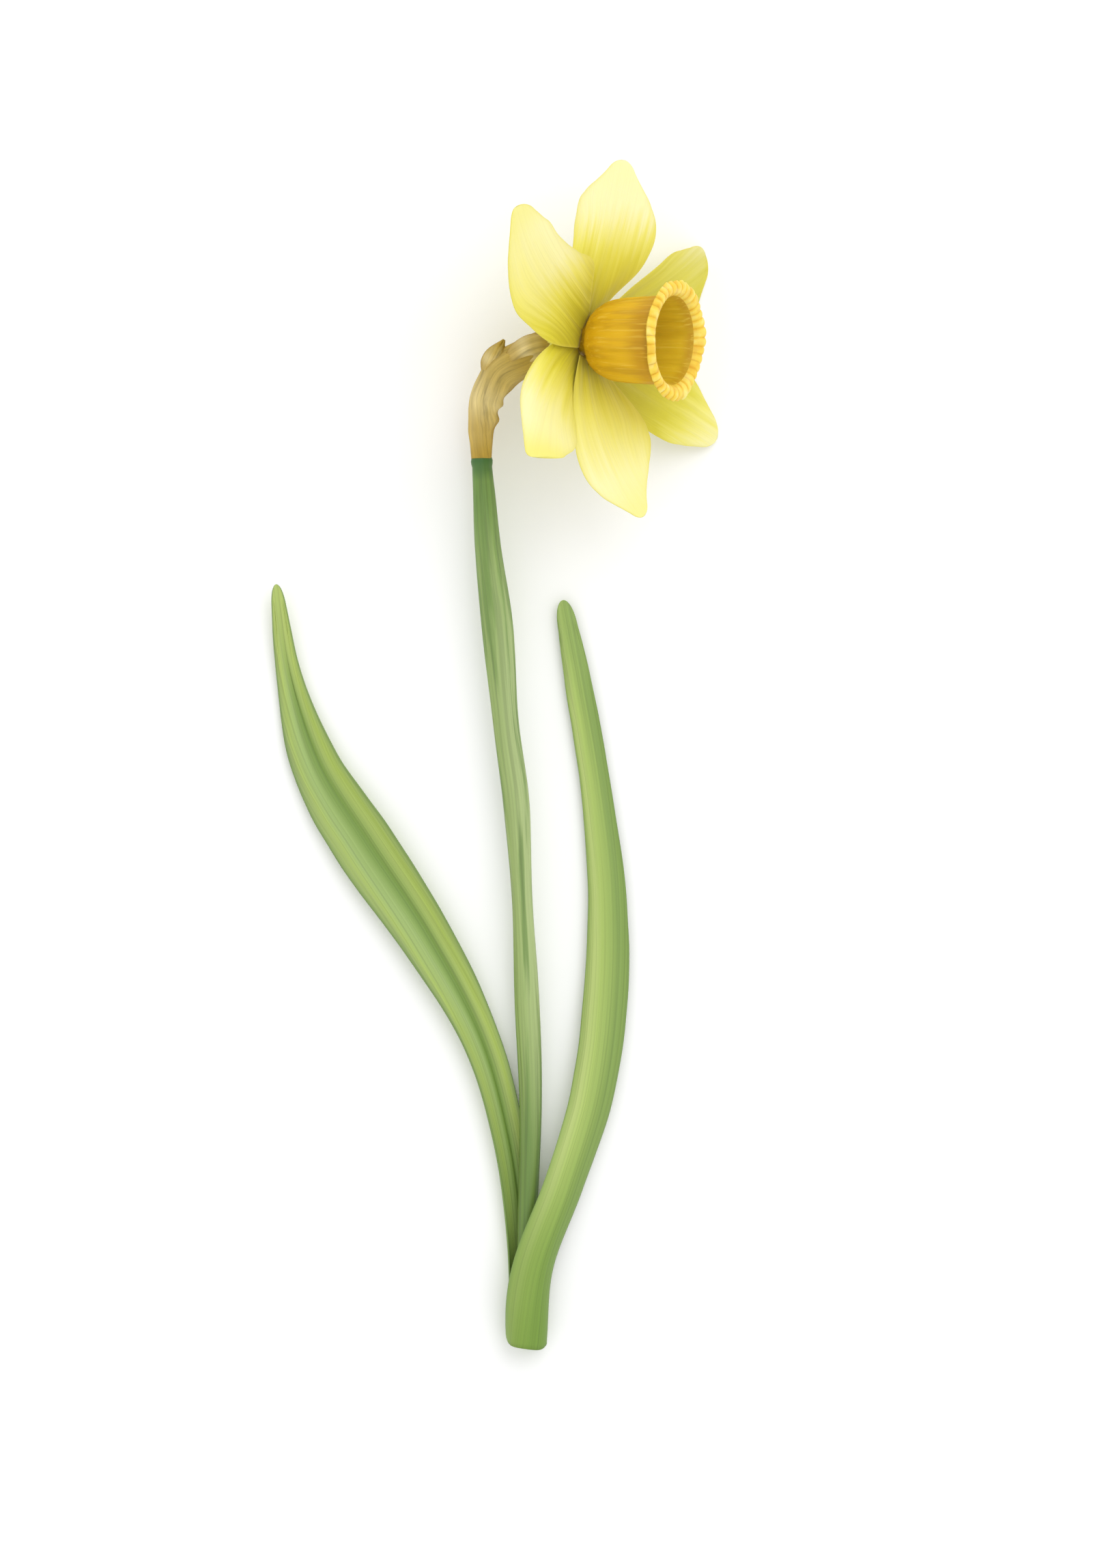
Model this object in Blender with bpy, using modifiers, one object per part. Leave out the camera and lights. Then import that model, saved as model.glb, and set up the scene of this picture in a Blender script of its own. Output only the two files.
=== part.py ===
"""A cut daffodil that lies on a table: stem, two leaves, papery spathe and one flower.

Metres, +Z up, table at z = 0. The stem runs along +Y and the trumpet looks towards +X,
tipped up from the table. Every piece is one closed solid in its own object.
"""

import math

import bmesh
import bpy
from mathutils import Vector

MM = 0.001
UP = Vector((0, 0, 1))
ORIGIN = Vector((0.0003, -0.0012, -0.0002))   # the middle of the part's box, on the table


def mm(*numbers):
    """A point given in millimetres."""
    return Vector(numbers) * MM


# ---------------------------------------------------------------- driving dimensions

# Flower head: where the six tepals meet, and which way the trumpet looks.
FLOWER_CENTRE = mm(24.2, 110.5, 31.0)
TRUMPET_TILT = math.radians(28.5)       # up from the table
TRUMPET_TURN = math.radians(-4.0)       # about Z, from +X

# Layers along the trumpet's axis, from the flower centre forwards.
OUTER_TEPALS_AT = 0.0 * MM
INNER_TEPALS_AT = 1.15 * MM
TRUMPET_AT = 2.6 * MM
TEPAL_ROOT_RADIUS = 4.4 * MM
TEPAL_THICKNESS = 0.8 * MM
TEPAL_STEPS = 40

# Trumpet (corona): its profile as (radius, distance from its root), in mm. It swells into
# a bowl, narrows to a barrel, and its frilled rim rolls outwards and back.
TRUMPET_PROFILE = (
    Vector((5.2, 0.0)), Vector((7.7, 1.5)), Vector((9.7, 4.6)), Vector((10.6, 8.6)),
    Vector((11.0, 12.8)), Vector((11.2, 17.0)), Vector((11.4, 20.8)), Vector((12.3, 23.9)),
    Vector((14.1, 24.9)), Vector((15.3, 23.8)),
)
TRUMPET_WALL = 0.9 * MM
TRUMPET_BEND = 0.026                    # how far it leans towards +Y, as a share of its length
TRUMPET_FOLDS = 18
TRUMPET_FRILL = 0.4 * MM

# Neck: pedicel, ovary and flower tube follow one bent line from the stem to the flower.
NECK = (
    mm(-3.5, 79.6, 12.0),
    mm(-3.5, 88.0, 12.0),
    mm(-2.4, 95.8, 13.2),
    mm(1.7, 102.2, 16.2),
    mm(8.4, 106.8, 20.4),
    mm(15.6, 110.4, 26.2),
    mm(23.2, 110.6, 30.4),
)
PEDICEL_SPAN = (0.004, 0.56)
OVARY_SPAN = (0.567, 0.75)
TUBE_SPAN = (0.757, 1.0)
SPATHE_SPAN = (0.008, 0.80)
PEDICEL_RADIUS = 1.5 * MM
OVARY_RADIUS = 2.9 * MM
TUBE_WALL = 0.9 * MM
TUBE_RADII = (2.3, 2.6, 3.4, 4.4)       # mm, ovary to mouth, middle of the wall
SPATHE_RADII = (2.6, 3.1, 3.8, 4.6, 5.1, 4.6, 3.6)
SPATHE_THICKNESS = 0.6 * MM

# Stamens and pistil stand in the tube and the lower half of the trumpet.
STAMEN_COUNT = 6
STAMEN_FOOT = -1.5 * MM
STAMEN_TIP = 12.0 * MM
STAMEN_RING = 2.8 * MM
PISTIL_TIP = 15.0 * MM

# Stem: flattened and slowly twisting, so it looks wider and narrower along its length.
STEM_LINE = (
    mm(8.4, -160.0, 4.2),
    mm(8.7, -130.0, 4.4),
    mm(9.6, -95.0, 5.0),
    mm(8.6, -65.0, 5.8),
    mm(7.4, -38.0, 6.8),
    mm(5.9, -13.0, 7.8),
    mm(3.1, 9.0, 8.9),
    mm(0.8, 34.0, 10.0),
    mm(-2.0, 57.0, 11.1),
    mm(-3.5, 79.2, 12.0),
)
STEM_WIDE = (2.7, 2.6, 3.0, 3.3, 2.75, 3.6, 3.5, 4.15, 3.45, 2.6)
STEM_DEEP = (2.6, 2.6, 2.9, 3.0, 3.4, 2.9, 3.0, 2.8, 2.8, 2.7)

# Leaves: a channel whose section is an arc. line is the middle of the blade from base to
# tip; half_widths run along the arc and bends are the arc's radii (mm); rolls turn the
# section about the line (degrees). The left leaf opens upwards, the right leaf downwards.
LEAF_THICKNESS = 0.95 * MM
LEFT_LEAF = dict(
    opens=1,
    line=(mm(8.4, -160.0, 0.5), mm(7.0, -130.0, 0.7), mm(3.2, -103.0, 1.6), mm(-4.4, -76.0, 2.6),
          mm(-19.0, -48.5, 2.6), mm(-35.5, -23.5, 1.4), mm(-48.3, -2.5, 0.6),
          mm(-55.6, 21.0, 1.2), mm(-59.2, 46.4, 5.0)),
    half_widths=(5.6, 5.1, 5.0, 5.6, 7.8, 9.2, 7.2, 3.7, 1.2),
    bends=(3.75, 4.6, 7.0, 9.0, 11.0, 12.0, 10.0, 6.0, 3.0),
    rolls=(0, 14, 28, 16, 0, -6, -6, -4, 0),
)
RIGHT_LEAF = dict(
    opens=-1,
    line=(mm(8.4, -160.0, 9.4), mm(11.6, -138.0, 9.6), mm(19.6, -115.5, 8.6), mm(26.9, -91.0, 6.6),
          mm(30.2, -64.0, 4.8), mm(30.3, -36.0, 3.8), mm(27.1, -7.0, 3.0),
          mm(22.8, 18.5, 3.0), mm(18.4, 42.2, 2.4)),
    half_widths=(8.4, 7.0, 6.3, 6.4, 6.4, 5.3, 4.1, 3.8, 2.0),
    bends=(5.2, 6.9, 9.0, 9.5, 9.5, 9.0, 7.5, 6.0, 4.0),
    rolls=(0, 24, 25, 14, 4, 0, 0, 0, 0),
)

# Finishes: colour, roughness. Nothing on a flower is metallic.
FINISHES = {
    "tepal": ((0.93, 0.87, 0.30), 0.55),
    "trumpet": ((0.80, 0.45, 0.02), 0.55),
    "anther": ((0.78, 0.52, 0.05), 0.80),
    "pistil": ((0.62, 0.62, 0.16), 0.50),
    "green": ((0.16, 0.30, 0.07), 0.45),
    "leaf": ((0.22, 0.38, 0.09), 0.45),
    "spathe": ((0.48, 0.32, 0.11), 0.70),
}

# Tepals: angle round the axis from straight up (clockwise, seen from the front), length,
# full width, then values at even steps from root to tip. lean tips a tepal forwards, sweep
# bends it sideways, twist turns its blade (degrees). cup is how far the edges stand forward
# of the midrib, as a share of the half width. left and right are the outline's half widths,
# and slant pushes the tip's right corner out and its left corner in.
TEPALS = (
    dict(name="tepal_outer_top", outer=True, angle=2, length=44.5, width=27,
         lean=(10, 11, 8, 5), sweep=(0, 0, 0, 0), twist=(0, 24, 34, 34), cup=-0.08,
         left=(0.32, 0.60, 0.70, 0.76, 0.74, 0.36), right=(0.25, 0.60, 0.98, 1.08, 0.88, 0.38),
         slant=0.0),
    dict(name="tepal_inner_right_upper", outer=False, angle=58, length=46.5, width=26,
         lean=(6, 16, 18, 14), sweep=(0, 0, -4, -8), twist=(0, 0, 0, 0), cup=0.10,
         left=(0.24, 0.32, 0.44, 0.50, 0.58, 0.44), right=(0.34, 0.66, 0.96, 1.10, 1.00, 0.56),
         slant=0.0),
    dict(name="tepal_outer_right_lower", outer=True, angle=118, length=49, width=27,
         lean=(8, 22, 28, 26), sweep=(0, -2, -3, -3), twist=(0, 0, 0, 0), cup=-0.08,
         left=(0.34, 0.66, 0.95, 1.04, 0.96, 0.52), right=(0.34, 0.50, 0.60, 0.66, 0.62, 0.40),
         slant=0.0),
    dict(name="tepal_inner_bottom", outer=False, angle=180, length=46, width=26,
         lean=(6, 20, 27, 30), sweep=(0, -2, -12, -32), twist=(0, -20, -30, -24), cup=0.10,
         left=(0.34, 0.86, 1.08, 1.0, 0.74, 0.30), right=(0.36, 0.52, 0.66, 0.80, 0.70, 0.28),
         slant=0.0),
    dict(name="tepal_outer_left_lower", outer=True, angle=238, length=43, width=24,
         lean=(2, 5, 9, 9), sweep=(0, -12, -23, -26), twist=(0, -12, -24, -32), cup=-0.20,
         left=(0.36, 0.76, 1.02, 1.08, 1.02, 0.78), right=(0.32, 0.56, 0.71, 0.70, 0.48, 0.26),
         slant=0.14),
    dict(name="tepal_inner_left_upper", outer=False, angle=298, length=47.5, width=30,
         lean=(-5, -6, -1, 6), sweep=(0, 4, 12, 24), twist=(0, 10, 10, 6), cup=0.12,
         left=(0.36, 0.72, 0.86, 0.95, 0.72, 0.28), right=(0.34, 1.02, 0.92, 0.75, 0.73, 0.47),
         slant=0.0),
)


# ---------------------------------------------------------------- curves and frames

def spline(values, t):
    """Catmull-Rom curve through evenly spaced numbers or points; t runs from 0 to 1."""
    last = len(values) - 1
    place = min(max(t, 0.0), 1.0) * last
    i = min(int(place), last - 1)
    f = place - i
    b, c = values[i], values[i + 1]
    a = values[i - 1] if i > 0 else 2 * b - c
    d = values[i + 2] if i + 2 <= last else 2 * c - b
    bend = (2 * a - 5 * b + 4 * c - d) * f ** 2
    ease = (3 * b - a - 3 * c + d) * f ** 3
    return 0.5 * (2 * b + (c - a) * f + bend + ease)


def frame_on(line, t):
    """Point, heading, sideways and upward directions at t along a line."""
    step = 0.004
    heading = (spline(line, t + step) - spline(line, t - step)).normalized()
    side = heading.cross(UP).normalized()
    return spline(line, t), heading, side, side.cross(heading)


def trumpet_frame():
    """The trumpet's axis, and the two directions across it: towards +Y and towards +X down."""
    level = math.cos(TRUMPET_TILT)
    axis = Vector((level * math.cos(TRUMPET_TURN), level * math.sin(TRUMPET_TURN), math.sin(TRUMPET_TILT)))
    across = UP.cross(axis).normalized()
    return axis, across, across.cross(axis)


AXIS, ACROSS, DOWN = trumpet_frame()


def around_axis(along, radius, angle):
    """A point round the trumpet's axis; angle 0 is towards +Y."""
    return FLOWER_CENTRE + AXIS * along + (ACROSS * math.cos(angle) + DOWN * math.sin(angle)) * radius


# ---------------------------------------------------------------- building blocks

def finish(bm, name, look, parts, thickness=0.0):
    """Make the mesh a named, smooth-shaded object with its own material."""
    bmesh.ops.translate(bm, verts=bm.verts, vec=-ORIGIN)
    mesh = bpy.data.meshes.new(name)
    bm.to_mesh(mesh)
    bm.free()
    mesh.shade_smooth()
    thing = bpy.data.objects.new(name, mesh)
    parts.objects.link(thing)
    colour, roughness = FINISHES[look]
    material = bpy.data.materials.new(name)
    material.use_nodes = True
    shader = material.node_tree.nodes["Principled BSDF"]
    shader.inputs["Base Color"].default_value = (*colour, 1)
    shader.inputs["Roughness"].default_value = roughness
    shader.inputs["Metallic"].default_value = 0
    mesh.materials.append(material)
    if thickness:
        wall = thing.modifiers.new("wall", "SOLIDIFY")
        wall.thickness = thickness
        wall.offset = 0
    return thing


def tube_mesh(segments, rings, capped):
    """A unit tube with evenly spaced rings."""
    bm = bmesh.new()
    bmesh.ops.create_cone(bm, cap_ends=capped, segments=segments, radius1=1, radius2=1, depth=1)
    walls = [edge for edge in bm.edges if abs(edge.verts[0].co.z - edge.verts[1].co.z) > 0.5]
    bmesh.ops.subdivide_edges(bm, edges=walls, cuts=rings - 1)
    return bm


def rod(name, look, parts, segments, rings, shape):
    """A closed rod: shape(t, angle) places what lies at t along it and angle round it."""
    bm = tube_mesh(segments, rings, True)
    for vert in bm.verts:
        vert.co = shape(vert.co.z + 0.5, math.atan2(vert.co.y, vert.co.x))
    bm.normal_update()
    bmesh.ops.recalc_face_normals(bm, faces=bm.faces)
    return finish(bm, name, look, parts)


def sleeve(name, look, parts, segments, rings, shape, thickness):
    """An open tube given a wall."""
    bm = tube_mesh(segments, rings, False)
    for vert in bm.verts:
        vert.co = shape(vert.co.z + 0.5, math.atan2(vert.co.y, vert.co.x))
    return finish(bm, name, look, parts, thickness)


def sheet(name, look, parts, columns, rows, shape, thickness):
    """A blade: shape(t, w) places what lies at t along it and w across it, from -1 to 1."""
    bm = bmesh.new()
    bmesh.ops.create_grid(bm, x_segments=columns, y_segments=rows, size=1)
    for vert in bm.verts:
        vert.co = shape((vert.co.y + 1) / 2, vert.co.x)
    return finish(bm, name, look, parts, thickness)


# ---------------------------------------------------------------- flower

def tepal_stations(tepal):
    """The midrib as frames: point, direction across the blade, direction to its front."""
    angle = math.radians(tepal["angle"])
    outward = ACROSS * math.cos(angle) + DOWN * math.sin(angle)
    around = DOWN * math.cos(angle) - ACROSS * math.sin(angle)
    layer = OUTER_TEPALS_AT if tepal["outer"] else INNER_TEPALS_AT
    point = FLOWER_CENTRE + AXIS * layer + outward * TEPAL_ROOT_RADIUS
    stations = []
    for i in range(TEPAL_STEPS + 1):
        t = i / TEPAL_STEPS
        lean = math.radians(spline(tepal["lean"], t))
        sweep = math.radians(spline(tepal["sweep"], t))
        twist = math.radians(spline(tepal["twist"], t))
        flat = outward * math.cos(sweep) + around * math.sin(sweep)
        heading = flat * math.cos(lean) + AXIS * math.sin(lean)
        side = around * math.cos(sweep) - outward * math.sin(sweep)
        front = heading.cross(side)
        if front.dot(AXIS) < 0:
            front = -front
        stations.append((point, side * math.cos(twist) + front * math.sin(twist),
                         front * math.cos(twist) - side * math.sin(twist)))
        point = point + heading * (tepal["length"] * MM / TEPAL_STEPS)
    return stations


def tepal_shape(tepal):
    """The function that places a tepal's surface."""
    stations = tepal_stations(tepal)

    def shape(t, w):
        half = spline(tepal["right"] if w > 0 else tepal["left"], t) * tepal["width"] / 2 * MM
        along = t - 0.10 * t ** 3 * abs(w) ** 2 + tepal["slant"] * t ** 4 * w
        place = min(max(along, 0), 1) * TEPAL_STEPS
        i = min(int(place), TEPAL_STEPS - 1)
        here, after = stations[i], stations[i + 1]
        point, side, front = (a.lerp(b, place - i) for a, b in zip(here, after))
        return point + side * (w * half) + front * (tepal["cup"] * half * w * w)

    return shape


def make_tepals(parts):
    for tepal in TEPALS:
        sheet(tepal["name"], "tepal", parts, 8, 14, tepal_shape(tepal), TEPAL_THICKNESS)


def make_trumpet(parts):
    """The ribbed trumpet, with a frilled rim that rolls outwards."""

    def shape(t, angle):
        radius, along = spline(TRUMPET_PROFILE, t) * MM
        frill = TRUMPET_FRILL * max(t - 0.7, 0) / 0.3 * math.cos(TRUMPET_FOLDS * angle)
        point = around_axis(TRUMPET_AT + along + frill, radius, angle)
        return point + ACROSS * along * TRUMPET_BEND

    sleeve("corona", "trumpet", parts, 2 * TRUMPET_FOLDS, 12, shape, TRUMPET_WALL)


def make_stamens(parts):
    """Each stamen is a thin filament that carries a long anther."""
    radii = (0.45, 0.45, 0.45, 0.5, 1.0, 1.05, 1.0, 0.4)
    for i in range(STAMEN_COUNT):
        turn = 2 * math.pi * i / STAMEN_COUNT

        def shape(t, angle):
            centre = around_axis(STAMEN_FOOT + t * (STAMEN_TIP - STAMEN_FOOT), STAMEN_RING, turn)
            across = ACROSS * math.cos(angle) + DOWN * math.sin(angle)
            return centre + across * spline(radii, t) * MM

        rod("stamen_%d" % (i + 1), "anther", parts, 8, 9, shape)


# ---------------------------------------------------------------- neck

def neck_rod(name, look, parts, segments, rings, span, radius):
    """A rod along the neck; radius(t, angle) in metres."""

    def shape(t, angle):
        point, _, side, top = frame_on(NECK, span[0] + t * (span[1] - span[0]))
        return point + (side * math.cos(angle) + top * math.sin(angle)) * radius(t, angle)

    rod(name, look, parts, segments, rings, shape)


def make_neck(parts):
    neck_rod("pedicel", "green", parts, 10, 14, PEDICEL_SPAN, lambda t, angle: PEDICEL_RADIUS)

    def ovary(t, angle):
        swell = 0.55 + 0.45 * math.sin(math.pi * (0.08 + 0.84 * t))
        return OVARY_RADIUS * swell * (1 + 0.05 * math.cos(3 * angle))

    neck_rod("ovary", "green", parts, 12, 8, OVARY_SPAN, ovary)

    def tube(t, angle):
        point, _, side, top = frame_on(NECK, TUBE_SPAN[0] + t * (TUBE_SPAN[1] - TUBE_SPAN[0]))
        radius = spline(TUBE_RADII, t) * MM
        return point + (side * math.cos(angle) + top * math.sin(angle)) * radius

    sleeve("perianth_tube", "tepal", parts, 16, 6, tube, TUBE_WALL)


def make_pistil(parts):
    """A style from the ovary's top, through the tube, to a three-lobed stigma."""
    start = OVARY_SPAN[1] + 0.012
    line = [spline(NECK, start + (1 - start) * i / 3) for i in range(4)]
    line += [around_axis(along * MM, 0, 0) for along in (1.0, 8.0)]
    line.append(around_axis(PISTIL_TIP, 0, 0))

    def shape(t, angle):
        point, _, side, top = frame_on(line, t)
        radius = 0.6 if t < 0.9 else 1.2 + 0.3 * math.cos(3 * angle)
        return point + (side * math.cos(angle) + top * math.sin(angle)) * radius * MM

    rod("pistil", "pistil", parts, 12, 20, shape)


def make_spathe(parts):
    """The papery sheath, open along the inner side of the bend."""
    reach = math.radians(150)
    opening = math.radians(-20)

    def shape(t, w):
        at = SPATHE_SPAN[0] + t * (SPATHE_SPAN[1] - SPATHE_SPAN[0])
        point, _, side, top = frame_on(NECK, at)
        angle = opening + math.pi + w * reach
        radius = spline(SPATHE_RADII, t) * MM
        return point + (side * math.cos(angle) + top * math.sin(angle)) * radius

    sheet("spathe", "spathe", parts, 14, 22, shape, SPATHE_THICKNESS)


# ---------------------------------------------------------------- stem and leaves

def make_stem(parts):
    def shape(t, angle):
        point, _, side, top = frame_on(STEM_LINE, t)
        wide = spline(STEM_WIDE, t) * MM
        deep = spline(STEM_DEEP, t) * MM
        return point + side * wide * math.cos(angle) + top * deep * math.sin(angle)

    rod("scape", "green", parts, 14, 36, shape)


def leaf_shape(leaf):
    """The function that places a leaf's surface."""

    def shape(t, w):
        point, _, side, top = frame_on(leaf["line"], t - 0.02 * t ** 6 * w * w)
        roll = math.radians(spline(leaf["rolls"], t))
        bend = spline(leaf["bends"], t) * MM
        angle = w * spline(leaf["half_widths"], t) * MM / bend
        across = side * math.cos(roll) - top * math.sin(roll)
        inward = (side * math.sin(roll) + top * math.cos(roll)) * leaf["opens"]
        return point + across * bend * math.sin(angle) + inward * bend * (1 - math.cos(angle))

    return shape


def make_leaves(parts):
    sheet("leaf_left", "leaf", parts, 8, 40, leaf_shape(LEFT_LEAF), LEAF_THICKNESS)
    sheet("leaf_right", "leaf", parts, 8, 40, leaf_shape(RIGHT_LEAF), LEAF_THICKNESS)


def main():
    for thing in list(bpy.data.objects):
        bpy.data.objects.remove(thing)
    parts = bpy.data.collections.new("daffodil")
    bpy.context.scene.collection.children.link(parts)
    make_stem(parts)
    make_leaves(parts)
    make_neck(parts)
    make_spathe(parts)
    make_tepals(parts)
    make_trumpet(parts)
    make_stamens(parts)
    make_pistil(parts)


main()
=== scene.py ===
# %% [markdown]
# # A cut daffodil, lying on a pale table
# A daffodil flower has six tepals (petals and sepals that look alike), a ribbed trumpet
# with a frilled rim, a papery sheath behind the flower, a flattened stem and strap-shaped
# leaves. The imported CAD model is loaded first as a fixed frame: it says where every piece
# goes and how large it may be. Each plain CAD solid is then replaced by a finer piece.

# %% The frame
import math

import bmesh
import bpy
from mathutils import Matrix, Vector, noise


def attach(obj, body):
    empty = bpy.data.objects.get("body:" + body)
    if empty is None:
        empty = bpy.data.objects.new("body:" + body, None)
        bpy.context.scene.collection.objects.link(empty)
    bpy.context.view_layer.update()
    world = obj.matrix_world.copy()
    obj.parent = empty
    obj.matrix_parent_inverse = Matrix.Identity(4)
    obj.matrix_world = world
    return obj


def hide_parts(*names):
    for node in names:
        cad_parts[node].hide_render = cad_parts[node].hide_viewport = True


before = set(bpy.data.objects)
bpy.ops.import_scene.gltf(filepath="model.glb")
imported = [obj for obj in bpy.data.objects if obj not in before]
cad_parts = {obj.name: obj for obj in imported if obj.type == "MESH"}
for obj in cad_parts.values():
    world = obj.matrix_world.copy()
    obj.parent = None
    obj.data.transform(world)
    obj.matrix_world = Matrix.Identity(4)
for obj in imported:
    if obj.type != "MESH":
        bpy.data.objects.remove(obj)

MM = 0.001
UP = Vector((0, 0, 1))
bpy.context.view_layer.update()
print("nodes in the frame:", len(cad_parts))

# %% [markdown]
# ## Curves
# Plants have no straight lines. Every piece follows a smooth curve through a few points,
# and its width follows a smooth curve through a few numbers. One spline function serves
# for both, and it could be a Blender curve object too, but a function can also be asked
# for the direction at any place, which a leaf needs to know which way is sideways.

# %% Points, splines and directions along a line
TABLE_MIDDLE = Vector((0.0003, -0.0012, -0.0002))   # from the points' zero to the frame's, in m


def mm(*numbers):
    """A point given in millimetres, in the frame."""
    return Vector(numbers) * MM - TABLE_MIDDLE


def spline(values, t):
    """A smooth curve through evenly spaced numbers or points; t runs from 0 to 1."""
    last = len(values) - 1
    place = min(max(t, 0.0), 1.0) * last
    i = min(int(place), last - 1)
    f = place - i
    b, c = values[i], values[i + 1]
    a = values[i - 1] if i > 0 else 2 * b - c
    d = values[i + 2] if i + 2 <= last else 2 * c - b
    bend = (2 * a - 5 * b + 4 * c - d) * f ** 2
    ease = (3 * b - a - 3 * c + d) * f ** 3
    return 0.5 * (2 * b + (c - a) * f + bend + ease)


def frame_on(line, t):
    """Point, heading, sideways and upward directions at t along a line."""
    step = 0.004
    heading = (spline(line, t + step) - spline(line, t - step)).normalized()
    side = heading.cross(UP).normalized()
    return spline(line, t), heading, side, side.cross(heading)


def rise(start, end, value):
    """0 before start, 1 after end, and an even slope with soft ends between them."""
    f = min(max((value - start) / (end - start), 0.0), 1.0)
    return f * f * (3 - 2 * f)


def bump_at(centre, width, value):
    """A soft bump: 1 at the centre, falling away over about its width."""
    return math.exp(-((value - centre) / width) ** 2)


def wander(seed, *place):
    """Smooth, repeatable unevenness between about -1 and 1."""
    x, y, z = (*place, 0.0, 0.0)[:3]
    return noise.noise(Vector((x + 17.3 * seed, y - 5.1 * seed, z + 3.7 * seed)))


print("halfway between 1, 4 and 2 lies", spline((1, 4, 2), 0.5))

# %% [markdown]
# ## Building blocks: blades and rods
# Petals, leaves and the sheath are blades: a flat grid that is bent into place and then
# given a thickness by Solidify, thinner at its edges than in its middle. Stem, ovary and
# stamens are rods: a cylinder with many rings. Both start from a bmesh shape, and a shape
# function moves each vertex. Two attributes are stored on the vertices for the finishes:
# "place" says how far across and along the piece a point lies, and "grain" measures the
# same in millimetres, so streaks can follow the tissue without a seam.

# %% Making a piece from a bmesh
MERGE_WITHIN = 1e-6   # points closer than this, in metres, become one
LENGTH_STEPS = 20     # a blade's length is measured in this many steps
CUT_FACE = 10 * MM    # faces this near a rod's foot belong to its cut end


def finish_piece(bm, name, looks, node=None, wall=None):
    """Turn a bmesh into a named piece on the body; looks are its materials."""
    mesh = bpy.data.meshes.new(name)
    bm.to_mesh(mesh)
    bm.free()
    piece = bpy.data.objects.new(name, mesh)
    bpy.context.scene.collection.objects.link(piece)
    for look in looks:
        mesh.materials.append(look)
    if wall:
        group = piece.vertex_groups.new(name="middle")
        solid = piece.modifiers.new("wall", "SOLIDIFY")
        solid.thickness = wall["thickness"]
        solid.offset = 0
        solid.vertex_group = group.name
        solid.thickness_vertex_group = wall["edge_share"]
        solid.material_offset = len(looks) - 1
    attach(piece, "root")
    if node:
        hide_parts(node)
    print(name, "has", len(mesh.polygons), "faces")
    return piece


def lay_out(bm, placed):
    """Move every vertex to its place and store what the finishes read."""
    place = bm.verts.layers.float_vector.new("place")
    grain = bm.verts.layers.float_vector.new("grain")
    bm.verts.ensure_lookup_table()
    for vert, (point, along, across, millimetres) in zip(bm.verts, placed):
        vert[place] = Vector((across, along, 0))
        vert[grain] = millimetres
        vert.co = point


def grow_blade(name, looks, columns, rows, shape, thickness, edge_share=0.45, node=None,
               crowding=1.0):
    """A blade: shape(t, w) gives a point; t runs from root to tip, w from -1 to 1 across.
    With crowding above 1 the rows lie closer together towards the tip."""
    bm = bmesh.new()
    bmesh.ops.create_grid(bm, x_segments=columns, y_segments=rows, size=1)
    weight = bm.verts.layers.deform.verify()
    middle_row = [shape(i / LENGTH_STEPS, 0.0) for i in range(LENGTH_STEPS + 1)]
    length = sum((b - a).length for a, b in zip(middle_row, middle_row[1:]))
    placed = []
    for vert in bm.verts:
        t = 1 - ((1 - vert.co.y) / 2) ** crowding
        w = math.sin(vert.co.x * math.pi / 2)
        half = (shape(t, 0.7) - shape(t, 0.0)).length / 0.7
        edge = max(abs(w) ** 6, t ** 30)
        vert[weight][0] = 1 - edge
        millimetres = Vector((w * half, 0, t * length)) / MM
        placed.append((shape(t, w), t, w, millimetres))
    lay_out(bm, placed)
    bmesh.ops.remove_doubles(bm, verts=bm.verts, dist=MERGE_WITHIN)
    for face in bm.faces:
        face.smooth = True
    wall = {"thickness": thickness, "edge_share": edge_share}
    return finish_piece(bm, name, looks, node, wall)


def round_tube(segments, rings, capped):
    """A unit tube with evenly spaced rings."""
    bm = bmesh.new()
    bmesh.ops.create_cone(bm, cap_ends=capped, segments=segments, radius1=1, radius2=1, depth=1)
    walls = [edge for edge in bm.edges if abs(edge.verts[0].co.z - edge.verts[1].co.z) > 0.5]
    bmesh.ops.subdivide_edges(bm, edges=walls, cuts=rings - 1)
    return bm


def grow_rod(name, looks, segments, rings, shape, length, node=None, capped=True,
             wall=None, hollow=None):
    """A rod or tube: shape(t, angle) gives a point on it. A hollow sinks the end at t = 0:
    depth says how far, and rim how much of the wall is left. Its faces get the second look."""
    bm = round_tube(segments, rings, capped)
    placed = []
    for vert in bm.verts:
        t, angle = vert.co.z + 0.5, math.atan2(vert.co.y, vert.co.x)
        middle = (shape(t, 0.0) + shape(t, math.pi)) / 2
        reach = (shape(t, angle) - middle).length
        millimetres = Vector((math.cos(angle) * reach, math.sin(angle) * reach, t * length)) / MM
        placed.append((shape(t, angle), t, math.cos(angle), millimetres))
    lay_out(bm, placed)
    for face in bm.faces:
        face.smooth = len(face.verts) == 4
    for edge in bm.edges:
        edge.smooth = all(face.smooth for face in edge.link_faces)
    if capped:
        bm.normal_update()
        bmesh.ops.recalc_face_normals(bm, faces=bm.faces)
    if hollow:
        foot = shape(0, 0)
        caps = [face for face in bm.faces if len(face.verts) > 4]
        end = min(caps, key=lambda face: (face.calc_center_median() - foot).length)
        inward = -end.normal
        bmesh.ops.inset_region(bm, faces=[end], thickness=hollow["rim"], use_even_offset=True)
        bmesh.ops.translate(bm, verts=end.verts, vec=inward * hollow["depth"])
        bmesh.ops.inset_region(bm, faces=[end], thickness=hollow["rim"] / 3, use_even_offset=True)
        for face in bm.faces:
            flat = abs(face.normal.dot(inward)) > 0.5
            near = (face.calc_center_median() - foot).length < CUT_FACE
            face.material_index = int(flat and near)
    return finish_piece(bm, name, looks, node, wall)


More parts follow.
